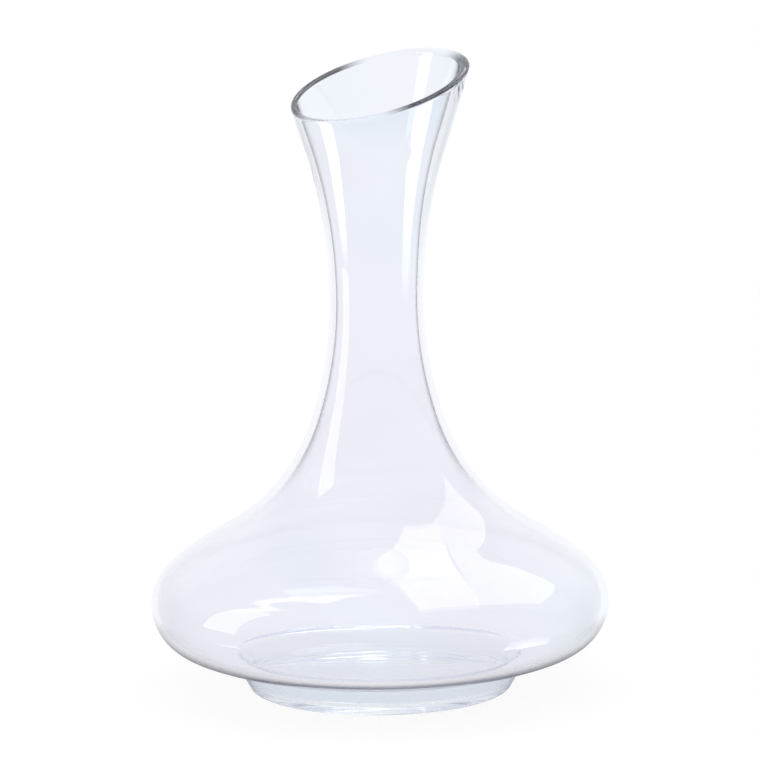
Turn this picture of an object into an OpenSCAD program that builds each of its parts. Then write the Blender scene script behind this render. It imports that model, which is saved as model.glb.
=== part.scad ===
// Wine decanter: one blown glass body, drawn as the regions a glassmaker works in turn.
// The outline is one chain of tangent arcs, from the table up to the mouth. The glass wall
// lies on the inner side of that chain. The mouth is cut on a slant and fire-polished.
// Millimetres, +Z up. The origin is on the table, at the centre of the foot, and the mouth's
// high side faces +X.

/* [Foot] */
// Radius of the rounded corner that the foot stands on
corner_r = 3; // [2:0.5:4]
// Slope of the foot's side wall above the table, in degrees
foot_slope = 60; // [52:1:68]
// Length of the foot's straight side wall
foot_side = 12; // [9:0.5:15]
// Radius of the crease between the foot and the bowl
crease_r = 2.5; // [1.5:0.5:4]
// Thickness of the glass floor over the standing ring
floor_t = 4.6; // [4:0.2:6]
// Radius of the fillet inside, between the floor and the side wall
floor_fillet = 7; // [5:0.5:9]
// Width of the flat ring that touches the table
ring_w = 8; // [5:0.5:14]
// Rise of the hollow under the floor, inside the standing ring
kick = 1.5; // [0.6:0.1:2]

/* [Bowl] */
// Widest outside diameter of the bowl
bowl_d = 210; // [196:1:224]
// Slope of the underside where it leaves the foot, in degrees
under_slope = 10; // [8:1:12]
// Radius of the nearly flat underside
under_r = 115; // [100:5:130]
// How far the underside turns before the belly, in degrees
under_turn = 12.5; // [10:0.5:15]
// Radius of the belly below the widest level
belly_low_r = 21; // [19:0.5:24]
// Radius of the belly above the widest level
belly_high_r = 23; // [21:0.5:26]
// How far the upper belly turns, in degrees
belly_high_turn = 49; // [46:0.5:52]
// Radius of the bowl's flat top
top_r = 140; // [120:5:160]
// How far the bowl's top turns, in degrees
top_turn = 10; // [8:0.5:12]

/* [Shoulder] */
// Straight length where the outline changes from convex to concave
shoulder_side = 8; // [4:1:12]
// Radius of the concave sweep from the bowl up to the neck
sweep_r = 92; // [84:2:100]
// How far the concave sweep turns, in degrees
sweep_turn = 40.5; // [38:0.5:43]

/* [Neck] */
// Radius of the neck's side below the throat
neck_r = 178; // [165:1:195]
// Radius of the flare above the throat
flare_r = 225; // [205:5:245]
// How far the flare turns before it straightens, in degrees
flare_turn = 18; // [16:0.5:19]
// Radius of the faint bulge in which the flare ends at the mouth
mouth_r = 850; // [600:50:2000]

/* [Mouth] */
// Height of the slanted cut above the table, on the axis
cut_z = 277; // [272:1:284]
// Slant of the cut, in degrees
cut_slant = 17; // [10:1:18]
// Height of the fire-polished round on the cut edge
crown = 1.7; // [1:0.1:2.4]

/* [Glass] */
// Thickness of the wall, measured square to it
wall = 2.8; // [2.2:0.1:3.2]

/* [Hidden] */
$fn = 240;
glass_low = [0.62, 0.76, 0.84];
glass_mid = [0.72, 0.84, 0.90];
glass_slope = [0.66, 0.80, 0.80];
glass_high = [0.80, 0.89, 0.94];
glass_edge = [0.52, 0.68, 0.80];

// The outline as moves from the table up: [bend, radius, turn], or [0, length, 0] if straight.
// Bend is 1 where the outline bulges outwards and -1 where it curves in. The last move reaches
// past the slanted cut.
neck_turn = belly_high_turn + top_turn - sweep_turn;
mouth_bend = 1;
mouth_reach = 70;
mouth_turn = mouth_reach / mouth_r * 180 / PI;
moves = [
    [1, corner_r, foot_slope],
    [0, foot_side, 0],
    [-1, crease_r, foot_slope - under_slope],
    [1, under_r, under_turn],
    [1, belly_low_r, 90 - under_slope - under_turn],
    [1, belly_high_r, belly_high_turn],
    [1, top_r, top_turn],
    [0, shoulder_side, 0],
    [-1, sweep_r, sweep_turn],
    [-1, neck_r, neck_turn],
    [-1, flare_r, flare_turn],
    [mouth_bend, mouth_r, mouth_turn]
];
// The first and last move of each region, and the move that starts at the widest level
foot_moves = [0, 2];
bowl_moves = [3, 6];
shoulder_moves = [7, 8];
neck_moves = [9, 11];
widest = 5;
last = 11;
// Arcs are drawn as chords that stay this close to the true arc
chord_gap = 0.015;

// A unit vector along a heading, and the one square to it, into the glass
function along(heading) = [cos(heading), sin(heading)];
function inward(heading) = [-sin(heading), cos(heading)];
function spot(s) = [s[0], s[1]];
// A move's arc: its centre, and the point on it after part of its turn, at a depth in the glass
function centre(s, m) = spot(s) + m[0] * m[1] * inward(s[2]);
function arc_spot(s, m, turn, depth) =
    centre(s, m) + (depth - m[0] * m[1]) * inward(s[2] + m[0] * turn);
// The state [r, z, heading] after a move, and all the states in turn
function step_to(s, m) =
    let (end = m[0] == 0 ? spot(s) + m[1] * along(s[2]) : arc_spot(s, m, m[2], 0))
    [end[0], end[1], s[2] + m[0] * m[2]];
function follow(s, i) = i > last ? [s] : concat([s], follow(step_to(s, moves[i]), i + 1));

// The chain starts on the table, as far out as brings its widest point to bowl_d
trial = follow([0, 0, 0], 0);
start_r = bowl_d / 2 - trial[widest][0];
path = follow([start_r, 0, 0], 0);

// Points along a move after its start, at a depth in the glass, and along moves a to b
function steps(m) = ceil(m[2] / (2 * acos(1 - chord_gap / m[1])));
function move_spots(i, depth) =
    let (s = path[i], m = moves[i], e = path[i + 1], n = steps(m))
    m[0] == 0
        ? [spot(e) + depth * inward(e[2])]
        : [for (k = [1:n]) arc_spot(s, m, m[2] * k / n, depth)];
function after(a, b, depth) = [for (i = [a:b]) each move_spots(i, depth)];
function from(a, b, depth) =
    concat([spot(path[a]) + depth * inward(path[a][2])], after(a, b, depth));
function reversed(list) = [for (i = [len(list) - 1:-1:0]) list[i]];

// The section through the wall along a region's moves
module wall_section(region) {
    polygon(concat(
        from(region[0], region[1], 0),
        reversed(from(region[0], region[1], wall))
    ));
}

// Where the inner face of the foot's side wall meets the top of the floor, and its fillet
side_in = spot(path[1]) + wall * inward(foot_slope);
floor_corner = [side_in[0] + (floor_t - side_in[1]) / tan(foot_slope), floor_t];
fillet_run = floor_fillet * tan(foot_slope / 2);
fillet_s = [floor_corner[0] - fillet_run, floor_t, 0];
fillet_m = [1, floor_fillet, foot_slope];
fillet_n = steps(fillet_m);
fillet_spots = [
    for (k = [0:fillet_n]) arc_spot(fillet_s, fillet_m, foot_slope * k / fillet_n, 0)
];
// The hollow under the floor is part of a large sphere
kick_in = start_r - ring_w;
kick_r = (kick_in * kick_in + kick * kick) / (2 * kick);
kick_fn = 1800;

module foot_section() {
    difference() {
        polygon(concat(
            [[0, 0]],
            from(foot_moves[0], foot_moves[1], 0),
            reversed(after(foot_moves[0] + 1, foot_moves[1], wall)),
            reversed(fillet_spots),
            [[0, floor_t]]
        ));
        translate([0, kick - kick_r]) circle(r = kick_r, $fn = kick_fn);
    }
}

// A slab far above the slanted cut, for taking the top off the flare
module above_cut(size) {
    translate([0, 0, cut_z]) rotate([0, -cut_slant, 0])
        translate([-size / 2, -size / 2, 0]) cube(size);
}

// Lip: where the slanted cut crosses a face of the flare, in the half-plane at one azimuth
mouth_s = path[last];
mouth_c = centre(mouth_s, moves[last]);
function cut_rise(azimuth) = tan(cut_slant) * cos(azimuth);
function cut_spot(azimuth, depth) =
    let (
        face_r = mouth_r - mouth_bend * depth,
        k = cut_rise(azimuth),
        h = cut_z - mouth_c[1],
        a = 1 + k * k,
        b = 2 * (k * h - mouth_c[0]),
        c = mouth_c[0] * mouth_c[0] + h * h - face_r * face_r,
        r = (-b + mouth_bend * sqrt(b * b - 4 * a * c)) / (2 * a)
    )
    [r, cut_z + k * r];
// One rounded section of the lip, from the outer face over the crown to the inner face
function lip_section(azimuth, n) =
    let (
        outer = cut_spot(azimuth, 0),
        inner = cut_spot(azimuth, wall),
        mid = (outer + inner) / 2,
        half = (outer - inner) / 2,
        up_vec = mouth_bend * (mid - mouth_c),
        up = [-up_vec[1], up_vec[0]] / norm(up_vec)
    )
    [for (j = [0:n]) mid + half * cos(180 * j / n) + up * crown * sin(180 * j / n)];
function turned(p, azimuth) = [p[0] * cos(azimuth), p[0] * sin(azimuth), p[1]];
lip_steps = 96;
lip_round = 8;

module foot() {
    color(glass_low) rotate_extrude() foot_section();
}

module bowl() {
    color(glass_mid) rotate_extrude() wall_section(bowl_moves);
}

module shoulder() {
    color(glass_slope) rotate_extrude() wall_section(shoulder_moves);
}

module neck() {
    color(glass_high) difference() {
        rotate_extrude() wall_section(neck_moves);
        above_cut(bowl_d);
    }
}

module lip() {
    ring = lip_round + 1;
    points = [
        for (i = [0:lip_steps - 1])
            let (azimuth = 360 * i / lip_steps)
            for (p = lip_section(azimuth, lip_round)) turned(p, azimuth)
    ];
    faces = [
        for (i = [0:lip_steps - 1], j = [0:lip_round])
            let (n = (i + 1) % lip_steps, q = (j + 1) % ring)
            [i * ring + j, i * ring + q, n * ring + q, n * ring + j]
    ];
    color(glass_edge) polyhedron(points = points, faces = faces, convexity = 4);
}

foot();
bowl();
shoulder();
neck();
lip();
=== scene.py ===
"""Wine decanter: the looks of one blown glass body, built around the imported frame.

The glass is a single closed surface with an outer and an inner face, as blown glass is. Its
section follows the same chain of tangent arcs as the frame's nodes, and the glassblower's hand
shows as gentle unevenness and as a thicker wall at the mouth's high side. Metres, +Z up.
"""
import math

import bpy
import numpy as np
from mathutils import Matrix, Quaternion, Vector, noise


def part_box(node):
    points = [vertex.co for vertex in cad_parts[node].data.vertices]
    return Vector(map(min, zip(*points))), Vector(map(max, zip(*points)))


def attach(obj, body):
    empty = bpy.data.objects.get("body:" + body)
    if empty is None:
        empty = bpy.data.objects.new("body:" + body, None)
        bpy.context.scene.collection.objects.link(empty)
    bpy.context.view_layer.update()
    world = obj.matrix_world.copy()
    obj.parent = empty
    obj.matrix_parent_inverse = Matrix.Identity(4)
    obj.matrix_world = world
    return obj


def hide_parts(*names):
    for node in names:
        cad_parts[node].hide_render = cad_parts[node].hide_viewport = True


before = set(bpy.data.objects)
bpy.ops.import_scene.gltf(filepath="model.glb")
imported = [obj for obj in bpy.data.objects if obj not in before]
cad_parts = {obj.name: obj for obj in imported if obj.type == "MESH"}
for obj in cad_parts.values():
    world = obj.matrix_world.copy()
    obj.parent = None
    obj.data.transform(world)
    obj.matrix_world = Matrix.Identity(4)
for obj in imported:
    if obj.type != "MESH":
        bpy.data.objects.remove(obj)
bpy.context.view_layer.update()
scene = bpy.context.scene

# ---- The camera ----
CAMERA_DISTANCE = 3.0
CAMERA_SIDE = 42.0  # degrees round from the decanter's own -Y direction, towards -X
CAMERA_RISE = 10.7  # degrees above the level of the aim point
CAMERA_ROLL = -0.63  # degrees about the line of sight
AIM_HEIGHT = 0.1432
AIM_RIGHT = 0.0011  # how far the aim passes to the right of the decanter's axis
VIEW_WIDTH = 0.3469  # what the frame spans at the decanter


def level(right):
    """The level direction this many degrees to the right of the camera's, seen from the decanter."""
    turn = math.radians(CAMERA_SIDE - right)
    return Vector((-math.sin(turn), -math.cos(turn), 0))


def direction(right, rise):
    up = math.radians(rise)
    return math.cos(up) * level(right) + Vector((0, 0, math.sin(up)))


def make_camera():
    data = bpy.data.cameras.new("camera")
    data.lens = data.sensor_width * CAMERA_DISTANCE / VIEW_WIDTH
    camera = bpy.data.objects.new("camera", data)
    scene.collection.objects.link(camera)
    away = direction(0, CAMERA_RISE)
    camera.location = Vector((0, 0, AIM_HEIGHT)) + AIM_RIGHT * level(90) + CAMERA_DISTANCE * away
    roll = Quaternion((0, 0, 1), math.radians(CAMERA_ROLL))
    camera.rotation_euler = (away.to_track_quat("Z", "Y") @ roll).to_euler()
    scene.camera = camera


make_camera()

# ---- The outline: a chain of moves from the table up, the same as the frame's ----
BULGE, STRAIGHT, HOLLOW = 1, 0, -1
FOOT_SLOPE = 60.0
MOUTH_RADIUS = 0.850
# (bend, radius, turn in degrees), or (STRAIGHT, length, 0)
MOVES = [
    (BULGE, 0.003, FOOT_SLOPE),
    (STRAIGHT, 0.012, 0),
    (HOLLOW, 0.0025, 50),
    (BULGE, 0.115, 12.5),
    (BULGE, 0.021, 67.5),
    (BULGE, 0.023, 49),
    (BULGE, 0.140, 10),
    (STRAIGHT, 0.008, 0),
    (HOLLOW, 0.092, 40.5),
    (HOLLOW, 0.178, 18.5),
    (HOLLOW, 0.225, 18),
    (BULGE, MOUTH_RADIUS, 5),
]
CREASE, WIDEST, MOUTH = 2, 5, 11  # where the crease, the upper belly and the mouth's arc stand
BOWL_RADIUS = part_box("bowl")[1].x
WALL = 0.0028
FLOOR = 0.0046
FLOOR_FILLET = 0.007
RING_WIDTH = 0.008
KICK = 0.0015
CUT_HEIGHT = 0.277
CUT_RISE = math.tan(math.radians(17))
CROWN = 0.0017

# ---- The mesh's fineness ----
AZIMUTHS = 180
STEP = 0.0017  # the longest step along the section
STEP_TURN = 4.0  # the most that the section turns in one step, in degrees
CROWN_STEPS = 14
FLOOR_STEPS = 22
azimuths = np.arange(AZIMUTHS) * (2 * math.pi / AZIMUTHS)

# ---- The glassblower's hand ----
HIGH_SIDE_EXTRA = 0.0018  # how much thicker the wall is at the mouth's high side
HIGH_SIDE_FALL = 1.5  # above 1, the thicker side is narrower
EXTRA_FROM, EXTRA_FULL = 0.19, 0.262  # the heights between which it thickens
OUTER_UNEVEN = 0.00016
INNER_UNEVEN = 0.0004
INNER_SHIFT = 7.3  # moves the noise, so that the inner face isn't uneven in the same places
UNEVEN_SIZE = 0.045
UNEVEN_STRETCH = 0.45  # below 1, the unevenness is drawn out along the neck
UNEVEN_FADE = 1 / 8  # the share of a face over which it fades out at each end

# ---- Painted shade: where the glass's colour is darkened, seen edge on ----
# Heights, each a pair: not at all at the first, fully at the second
# The neck's inner face: painted dark lines along its edges, in place of dark reflections
NECK_SHADE_HEIGHTS = (0.075, 0.11)
# The bowl's underside, and a share on its inner face: painted shade, in place of the shadowed table that
# it mirrors and dark reflections
UNDERSIDE_SHADE_FROM = (0.0125, 0.0135)
UNDERSIDE_SHADE_UNTIL = (0.032, 0.021)
BELLY_SHADE_FROM = (0.018, 0.030)
BELLY_SHADE_UNTIL = (0.066, 0.050)
BELLY_SHADE_SHARE = 0.25  # how much painted shade the bowl's inner face gets, beside its underside
RIM_SHADE_SKEW = 25.0  # how far round from the mouth's two ends, as seen, its painted dark spots lie, in degrees; they stand in for dark reflections on the lip


def inward(degrees):
    """The direction square to a heading along the outline, into the glass."""
    a = np.radians(degrees)
    return np.stack([-np.sin(a), np.cos(a)], axis=-1)


def along(degrees):
    a = np.radians(degrees)
    return np.stack([np.cos(a), np.sin(a)], axis=-1)


def on_move(state, move, share, depth):
    """Points (radius, height) after a share of a move, at a depth, one for each azimuth."""
    spot, heading = state
    bend, size, turn = move
    share = np.broadcast_to(share, AZIMUTHS)[:, None]
    depth = np.broadcast_to(depth, AZIMUTHS)[:, None]
    if bend == STRAIGHT:
        return spot + size * share * along(heading) + depth * inward(heading)
    centre = spot + bend * size * inward(heading)
    return centre + (depth - bend * size) * inward(heading + bend * turn * share[:, 0])


def follow(start_radius):
    """The state, a spot and a heading, at the start of each move and after the last."""
    states = [(np.array([start_radius, 0.0]), 0.0)]
    for move in MOVES:
        end = on_move(states[-1], move, 1, 0)[0]
        states.append((end, states[-1][1] + move[0] * move[2]))
    return states


START_RADIUS = BOWL_RADIUS - follow(0)[WIDEST][0][0]
STATES = follow(START_RADIUS)


def shares(move):
    """The shares of a move at which rings stand."""
    length = move[1] if move[0] == STRAIGHT else move[1] * math.radians(move[2])
    count = max(math.ceil(length / STEP), math.ceil(move[2] / STEP_TURN), 2)
    return np.arange(1, count + 1) / count


def eased(values, start, full):
    """0 where values are at start, 1 where they are at full, and an S-curve between."""
    share = np.clip((values - start) / (full - start), 0, 1)
    return share * share * (3 - 2 * share)


def wall_depth(heights):
    """The wall's thickness behind points of the outer face at these heights."""
    extra = HIGH_SIDE_EXTRA * eased(heights, EXTRA_FROM, EXTRA_FULL)
    return WALL + extra * (0.5 + 0.5 * np.cos(azimuths)) ** HIGH_SIDE_FALL


def mouth_shares(depth):
    """The share of the mouth's arc that lies below the slanted cut, at each azimuth."""
    spot, heading = STATES[MOUTH]
    centre = spot + MOUTH_RADIUS * inward(heading)
    rise = CUT_RISE * np.cos(azimuths)
    height = CUT_HEIGHT - centre[1]
    a = 1 + rise**2
    b = 2 * (rise * height - centre[0])
    c = centre[0] ** 2 + height**2 - (MOUTH_RADIUS - depth) ** 2
    radius = (-b + np.sqrt(b**2 - 4 * a * c)) / (2 * a)
    way = np.degrees(np.arctan2(height + rise * radius, radius - centre[0]))
    return (way + 90 - heading) / MOVES[MOUTH][2]


def wall_rings():
    """The rings of the outer and of the inner face, from the table up to the cut."""
    outer, inner = [], []
    for index in range(MOUTH):
        for share in shares(MOVES[index]):
            outer.append(on_move(STATES[index], MOVES[index], share, 0))
            depth = wall_depth(outer[-1][:, 1])
            if index >= CREASE:
                inner.append(on_move(STATES[index], MOVES[index], share, depth))
    full = wall_depth(EXTRA_FULL)
    outer_end, inner_end = mouth_shares(0), mouth_shares(full)
    length = MOUTH_RADIUS * math.radians(MOVES[MOUTH][2]) * outer_end.max()
    count = math.ceil(length / STEP)
    for share in np.arange(1, count + 1) / count:
        outer.append(on_move(STATES[MOUTH], MOVES[MOUTH], share * outer_end, 0))
        depth = wall_depth(outer[-1][:, 1])
        inner.append(on_move(STATES[MOUTH], MOVES[MOUTH], share * inner_end, depth))
    return outer, inner


def crown_rings(outer, inner):
    """The fire-polished round over the cut, from the outer face to the inner face."""
    middle = (outer + inner) / 2
    half = (outer - inner) / 2
    up = np.stack([-half[:, 1], half[:, 0]], axis=1)
    up /= np.linalg.norm(up, axis=1, keepdims=True)
    turns = np.linspace(0, math.pi, CROWN_STEPS + 1)[1:-1]
    return [middle + half * math.cos(t) + up * CROWN * math.sin(t) for t in turns]


def flat_ring(radius, height):
    return np.broadcast_to([radius, height], (AZIMUTHS, 2))


def foot_inside_rings():
    """From the side wall down the fillet, then over the floor towards the middle."""
    side = on_move(STATES[1], MOVES[1], 0, WALL)[0]
    slope = math.radians(FOOT_SLOPE)
    corner = side[0] + (FLOOR - side[1]) / math.tan(slope)
    edge = corner - FLOOR_FILLET * math.tan(slope / 2)
    fillet = (BULGE, FLOOR_FILLET, FOOT_SLOPE)
    start = (np.array([edge, FLOOR]), 0.0)
    rings = [on_move(start, fillet, share, 0) for share in [*reversed(shares(fillet)), 0]]
    return rings + [flat_ring(edge * k / FLOOR_STEPS, FLOOR) for k in range(FLOOR_STEPS - 1, 0, -1)]


def underside_rings():
    """From the middle of the shallow dome under the foot, out to the ring on the table."""
    edge = START_RADIUS - RING_WIDTH
    shares_out = np.arange(1, FLOOR_STEPS + 1) / FLOOR_STEPS
    rings = [flat_ring(edge * share, KICK * (1 - share**2)) for share in shares_out]
    return rings + [flat_ring(START_RADIUS - RING_WIDTH / 2, 0), flat_ring(START_RADIUS, 0)]


def in_space(ring):
    """A ring's section points turned to their azimuths."""
    radius, height = ring[:, 0], ring[:, 1]
    return np.stack([radius * np.cos(azimuths), radius * np.sin(azimuths), height], axis=1)


def squares(rings):
    """The directions square to the section at each ring, to the left of the way it runs."""
    stack = np.array(rings)
    way = np.gradient(stack, axis=0)
    way /= np.linalg.norm(way, axis=2, keepdims=True)
    return np.stack([-way[:, :, 1], way[:, :, 0]], axis=2)


def uneven(rings, amount, noise_shift):
    """The rings, moved square to the section by smooth noise from 0 to amount, fading at both ends."""
    count = np.arange(len(rings))
    fade = np.minimum(count, count[::-1]) / (len(rings) * UNEVEN_FADE)
    fade = np.clip(fade, 0, 1) * amount
    moved = []
    for ring, square, most in zip(rings, squares(rings), fade):
        shift = []
        for x, y, z in in_space(ring):
            where = Vector((x, y, z * UNEVEN_STRETCH)) / UNEVEN_SIZE + Vector((noise_shift, 0, 0))
            shift.append(0.5 + 0.5 * noise.noise(where))
        moved.append(ring + square * most * np.clip(shift, 0, 1)[:, None])
    return moved


def mark_painted_shade(mesh, verts, first_crown, first_inner):
    """Mark how much painted shade edge-on glass gets: X on the neck, Y on the mouth's round and Z on the
    bowl.
    """
    height = verts[:, 2]
    shade_zones = np.zeros((len(verts), 3), np.float32)
    shade_zones[first_inner:, 0] = eased(height, *NECK_SHADE_HEIGHTS)[first_inner:]
    shade_zones[first_crown:first_inner, 1] = 1
    underside = eased(height, *UNDERSIDE_SHADE_FROM) * eased(height, *UNDERSIDE_SHADE_UNTIL)
    shade_zones[:first_crown, 2] = underside[:first_crown]
    belly = eased(height, *BELLY_SHADE_FROM) * eased(height, *BELLY_SHADE_UNTIL)
    shade_zones[first_inner:, 2] = BELLY_SHADE_SHARE * belly[first_inner:]
    mesh.attributes.new("shade_zones", "FLOAT_VECTOR", "POINT").data.foreach_set("vector", shade_zones.ravel())
    # A level direction along the rim, turned by the skew, that places the painted dark spots on the
    # mouth's round
    turn = np.arctan2(verts[:, 1], verts[:, 0]) + math.radians(90 + RIM_SHADE_SKEW)
    way = np.stack([np.cos(turn), np.sin(turn), np.zeros(len(verts))], axis=1).astype(np.float32)
    mesh.attributes.new("rim_shade_way", "FLOAT_VECTOR", "POINT").data.foreach_set("vector", way.ravel())


def make_glass():
    """The whole body as one closed surface."""
    outer, inner = wall_rings()
    crown = crown_rings(outer[-1], inner[-1])
    outside = underside_rings() + uneven(outer, OUTER_UNEVEN, 0) + crown
    inside = uneven(inner, INNER_UNEVEN, INNER_SHIFT)[::-1] + foot_inside_rings()
    rings = outside + inside
    last = (len(rings) - 1) * AZIMUTHS
    verts = np.concatenate([in_space(ring) for ring in rings] + [[[0, 0, KICK], [0, 0, FLOOR]]])
    under, over = len(verts) - 2, len(verts) - 1
    faces = []
    for i in range(AZIMUTHS):
        j = (i + 1) % AZIMUTHS
        faces.append((under, j, i))
        faces.append((over, last + i, last + j))
        for low in range(0, last, AZIMUTHS):
            high = low + AZIMUTHS
            faces.append((low + i, low + j, high + j, high + i))
    mesh = bpy.data.meshes.new("decanter_glass")
    mesh.from_pydata(verts.tolist(), [], faces)
    mesh.polygons.foreach_set("use_smooth", [True] * len(faces))
    first_crown = (len(outside) - len(crown)) * AZIMUTHS
    first_inner = len(outside) * AZIMUTHS
    mark_painted_shade(mesh, verts, first_crown, first_inner)
    mesh.update()
    glass = bpy.data.objects.new("decanter_glass", mesh)
    scene.collection.objects.link(glass)
    return glass


# ---- Nodes that the material and the world share ----
def mapped(tree, value, start, full, low=0, high=1, curve="SMOOTHSTEP"):
    """Goes from low to high while the value goes from start to full."""
    node = tree.nodes.new("ShaderNodeMapRange")
    node.interpolation_type = curve
    node.inputs["From Min"].default_value = start
    node.inputs["From Max"].default_value = full
    node.inputs["To Min"].default_value = low
    node.inputs["To Max"].default_value = high
    tree.links.new(value, node.inputs["Value"])
    return node.outputs["Result"]


def calculated(tree, operation, first, second):
    node = tree.nodes.new("ShaderNodeMath")
    node.operation = operation
    tree.links.new(first, node.inputs[0])
    tree.links.new(second, node.inputs[1])
    return node.outputs["Value"]


def tinted(tree, colour, share, other):
    """The colour, turned by this share to another, which is fixed."""
    node = tree.nodes.new("ShaderNodeMix")
    node.data_type = "RGBA"
    node.inputs["B"].default_value = (*other, 1)
    tree.links.new(share, node.inputs["Factor"])
    tree.links.new(colour, node.inputs["A"])
    return node.outputs["Result"]


def graded(tree, value, first, second, *more):
    """Runs through two or more (value, colour) stops."""
    node = tree.nodes.new("ShaderNodeValToRGB")
    elements = node.color_ramp.elements
    for element, (position, colour) in zip(elements, (first, second)):
        element.position = position
        element.color = (*colour, 1)
    for position, colour in more:
        elements.new(position).color = (*colour, 1)
    tree.links.new(value, node.inputs["Fac"])
    return node.outputs["Color"]


def axes_of(tree, vector):
    node = tree.nodes.new("ShaderNodeSeparateXYZ")
    tree.links.new(vector, node.inputs["Vector"])
    return node.outputs


def smooth_noise(tree, place, scale):
    node = tree.nodes.new("ShaderNodeTexNoise")
    node.inputs["Scale"].default_value = scale
    node.inputs["Detail"].default_value = 1
    tree.links.new(place, node.inputs["Vector"])
    return node.outputs["Fac"]


# ---- The glass itself ----
GLASS_IOR = 1.5
# The melt's tint at each share of its drift: lavender, pale blue and a deeper blue
TINTS = [
    (0.42, (0.928, 0.926, 0.968)),
    (0.60, (0.930, 0.952, 0.986)),
    (0.85, (0.860, 0.905, 0.965)),
]
TINT_SCALE = 11
# Heights between which the drift moves towards blue, and how far, up the neck and again at the mouth
NECK_HEIGHTS, NECK_BLUER = (0.16, 0.26), (-0.03, 0.12)
MOUTH_HEIGHTS, MOUTH_BLUER = (0.250, 0.268), 0.13
FOOT_HEIGHTS, FOOT_TINT = (0.016, 0.011), (0.86, 0.89, 0.93)
# The painted shade: the facing() at which the glass's colour starts to darken, the one at which it is
# darkest, and its colour there, for the neck's painted dark lines, the mouth's painted dark spots and the
# bowl's painted shade
NECK_PAINTED_SHADE = (0.62, 0.86, (0.03, 0.03, 0.035))
RIM_PAINTED_SHADE = (0.55, 0.22, (0.02, 0.02, 0.023))
BOWL_PAINTED_SHADE = (0.42, 0.80, (0.19, 0.19, 0.215))
RIPPLE_SCALE = 60
RIPPLE_STRETCH = 0.3  # below 1, the ripples are drawn out along the neck
RIPPLE_DEPTH = 0.0003
RIPPLE_STRENGTH = 0.15
RIPPLE_HEIGHTS = (0.012, 0.035)  # none below the first, full above the second
BODY_COLOUR, BODY_DENSITY = (0.2, 0.4, 0.8), 0.2  # the faint absorption on the way through the glass


def melt_tint(tree, place, height):
    """The tint drifts between lavender and pale blue, bluer up the neck, and is greyer in the foot."""
    drift = smooth_noise(tree, place, TINT_SCALE)
    drift = calculated(tree, "ADD", drift, mapped(tree, height, *NECK_HEIGHTS, *NECK_BLUER))
    drift = calculated(tree, "ADD", drift, mapped(tree, height, *MOUTH_HEIGHTS, high=MOUTH_BLUER))
    return tinted(tree, graded(tree, drift, *TINTS), mapped(tree, height, *FOOT_HEIGHTS), FOOT_TINT)


def attribute(tree, name):
    node = tree.nodes.new("ShaderNodeAttribute")
    node.attribute_name = name
    return node.outputs["Vector"]


def facing(tree, normal=None):
    """0 where the surface faces the eye, 1 where it is edge on. A direction may stand in for its own."""
    node = tree.nodes.new("ShaderNodeLayerWeight")
    node.inputs["Blend"].default_value = 0.5
    if normal is not None:
        tree.links.new(normal, node.inputs["Normal"])
    return node.outputs["Facing"]


def painted_edge_shade(tree, colour):
    """Painted shade: seen edge on, the glass's colour is darkened, in place of dark reflections and,
    under the bowl, the shadowed table.
    """
    shade_zones = axes_of(tree, attribute(tree, "shade_zones"))
    edge = facing(tree)
    rim_shade_facing = facing(tree, attribute(tree, "rim_shade_way"))
    for way, zone, look in ((edge, "X", NECK_PAINTED_SHADE), (rim_shade_facing, "Y", RIM_PAINTED_SHADE), (edge, "Z", BOWL_PAINTED_SHADE)):
        start, full, shade_colour = look
        share = calculated(tree, "MULTIPLY", mapped(tree, way, start, full), shade_zones[zone])
        colour = tinted(tree, colour, share, shade_colour)
    return colour


def blown_ripples(tree, place, height):
    """Fine ripples from the blowing, drawn out along the neck, and none in the foot."""
    stretch = tree.nodes.new("ShaderNodeMapping")
    stretch.inputs["Scale"].default_value = (1, 1, RIPPLE_STRETCH)
    tree.links.new(place, stretch.inputs["Vector"])
    bump = tree.nodes.new("ShaderNodeBump")
    bump.inputs["Distance"].default_value = RIPPLE_DEPTH
    strength = mapped(tree, height, *RIPPLE_HEIGHTS, high=RIPPLE_STRENGTH, curve="LINEAR")
    tree.links.new(strength, bump.inputs["Strength"])
    ripple = smooth_noise(tree, stretch.outputs["Vector"], RIPPLE_SCALE)
    tree.links.new(ripple, bump.inputs["Height"])
    return bump.outputs["Normal"]


def glass_material():
    material = bpy.data.materials.new("clear_glass")
    material.use_nodes = True
    tree = material.node_tree
    shader = tree.nodes["Principled BSDF"]
    shader.inputs["Transmission Weight"].default_value = 1
    shader.inputs["Roughness"].default_value = 0
    shader.inputs["IOR"].default_value = GLASS_IOR
    place = tree.nodes.new("ShaderNodeTexCoord").outputs["Object"]
    height = axes_of(tree, place)["Z"]
    # The melt's tint, darkened edge on by painted shade
    colour = painted_edge_shade(tree, melt_tint(tree, place, height))
    tree.links.new(colour, shader.inputs["Base Color"])
    tree.links.new(blown_ripples(tree, place, height), shader.inputs["Normal"])
    body = tree.nodes.new("ShaderNodeVolumeAbsorption")
    body.inputs["Color"].default_value = (*BODY_COLOUR, 1)
    body.inputs["Density"].default_value = BODY_DENSITY
    tree.links.new(body.outputs["Volume"], tree.nodes["Material Output"].inputs["Volume"])
    return material


# ---- The studio ----
FLOOR_HALF = 6.0
FLOOR_GAP = 0.0004  # the floor lies this far under the ring, so that the two never share a plane
FLOOR_GREY = 0.12
FLOOR_GLOW = 0.9
WHITE = (1, 1, 1, 1)
# The backdrop as the glass mirrors it, by the cosine of the angle from straight behind the decanter
BACKDROP = [(0.55, (0.42, 0.42, 0.56)), (0.80, (0.92, 0.95, 1))]
TABLE_RISES = (-0.21, -0.36)  # the sines of the rises between which it gives way to the dark table
TABLE_COLOUR = (0.16, 0.16, 0.18)
BOUNCES = 1000  # light is led a long way round inside the wall


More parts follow.
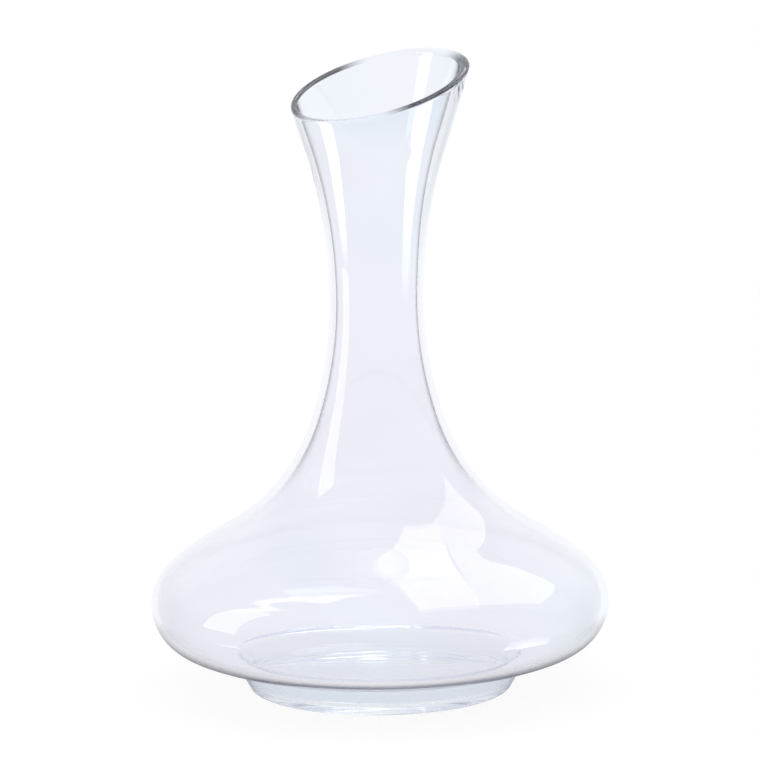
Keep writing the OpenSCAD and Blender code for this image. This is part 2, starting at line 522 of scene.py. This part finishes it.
def make_floor():
    """A floor that glows, so that it is nearly as white as what is behind it. Nothing mirrors it."""
    mesh = bpy.data.meshes.new("floor")
    signs = ((-1, -1), (1, -1), (1, 1), (-1, 1))
    corners = [(x * FLOOR_HALF, y * FLOOR_HALF, -FLOOR_GAP) for x, y in signs]
    mesh.from_pydata(corners, [], [(0, 1, 2, 3)])
    floor = bpy.data.objects.new("floor", mesh)
    scene.collection.objects.link(floor)
    floor.visible_glossy = False
    material = bpy.data.materials.new("white_floor")
    material.use_nodes = True
    shader = material.node_tree.nodes["Principled BSDF"]
    shader.inputs["Base Color"].default_value = (FLOOR_GREY, FLOOR_GREY, FLOOR_GREY, 1)
    shader.inputs["Roughness"].default_value = 1
    shader.inputs["Specular IOR Level"].default_value = 0
    shader.inputs["Emission Color"].default_value = WHITE
    shader.inputs["Emission Strength"].default_value = FLOOR_GLOW
    mesh.materials.append(material)


def softbox(name, right, rise, distance, width, height, power,
            about=0.14, tilt=0, spread=180, through=False):
    """A soft panel in one direction from a height on the decanter's axis, facing it, then tilted up.

    The glass's outer face mirrors it, and so do its inner faces if through is set.
    """
    data = bpy.data.lights.new(name, "AREA")
    data.shape = "RECTANGLE"
    data.size = width
    data.size_y = height
    data.energy = power
    data.spread = math.radians(spread)
    lamp = bpy.data.objects.new(name, data)
    scene.collection.objects.link(lamp)
    lamp.location = Vector((0, 0, about)) + distance * direction(right, rise)
    lamp.rotation_euler = direction(right, rise - tilt).to_track_quat("Z", "Y").to_euler()
    lamp.visible_camera = False
    lamp.visible_diffuse = False
    lamp.visible_transmission = through


def make_world():
    """White all round for what is seen through the glass, and a dim studio for what it mirrors."""
    world = bpy.data.worlds.new("studio")
    scene.world = world
    world.use_nodes = True
    tree = world.node_tree
    tree.nodes.clear()
    place = tree.nodes.new("ShaderNodeTexCoord").outputs["Generated"]
    behind = tree.nodes.new("ShaderNodeVectorMath")
    behind.operation = "DOT_PRODUCT"
    behind.inputs[1].default_value = -level(0)
    tree.links.new(place, behind.inputs[0])
    backdrop = graded(tree, behind.outputs["Value"], *BACKDROP)
    under = mapped(tree, axes_of(tree, place)["Z"], *TABLE_RISES)
    mirrored = tree.nodes.new("ShaderNodeBackground")
    tree.links.new(tinted(tree, backdrop, under, TABLE_COLOUR), mirrored.inputs["Color"])
    seen = tree.nodes.new("ShaderNodeBackground")
    seen.inputs["Color"].default_value = WHITE
    path = tree.nodes.new("ShaderNodeLightPath").outputs
    mirror = calculated(tree, "SUBTRACT", path["Is Reflection Ray"], path["Is Diffuse Ray"])
    mix = tree.nodes.new("ShaderNodeMixShader")
    tree.links.new(mirror, mix.inputs["Fac"])
    tree.links.new(seen.outputs["Background"], mix.inputs[1])
    tree.links.new(mirrored.outputs["Background"], mix.inputs[2])
    output = tree.nodes.new("ShaderNodeOutputWorld")
    tree.links.new(mix.outputs["Shader"], output.inputs["Surface"])


def set_look():
    scene.view_settings.view_transform = "Standard"
    scene.cycles.use_denoising = True
    scene.cycles.max_bounces = BOUNCES
    scene.cycles.transmission_bounces = BOUNCES
    scene.cycles.glossy_bounces = BOUNCES


glass = make_glass()
glass.data.materials.append(glass_material())
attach(glass, "root")
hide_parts("foot", "bowl", "shoulder", "neck", "lip")

make_floor()
make_world()
softbox("left_panel", right=-80, rise=0, distance=0.5, width=0.18, height=0.54, power=0.75, about=0.33)
softbox("left_low_panel", right=-80, rise=0, distance=0.5, width=0.18, height=0.21, power=0.10,
        about=-0.02, tilt=40, spread=48)
softbox("right_strip", right=76, rise=0, distance=0.8, width=0.34, height=0.5, power=0.34,
        about=-0.06, tilt=38, spread=58)
softbox("overhead_right", right=117, rise=46, distance=1.04, width=0.5, height=0.56, power=1.5)
softbox("overhead", right=122, rise=72, distance=1.02, width=0.55, height=0.39, power=0.95, through=True)
softbox("overhead_back", right=163, rise=48, distance=1.2, width=0.4, height=0.3, power=0.9, through=True)
set_look()
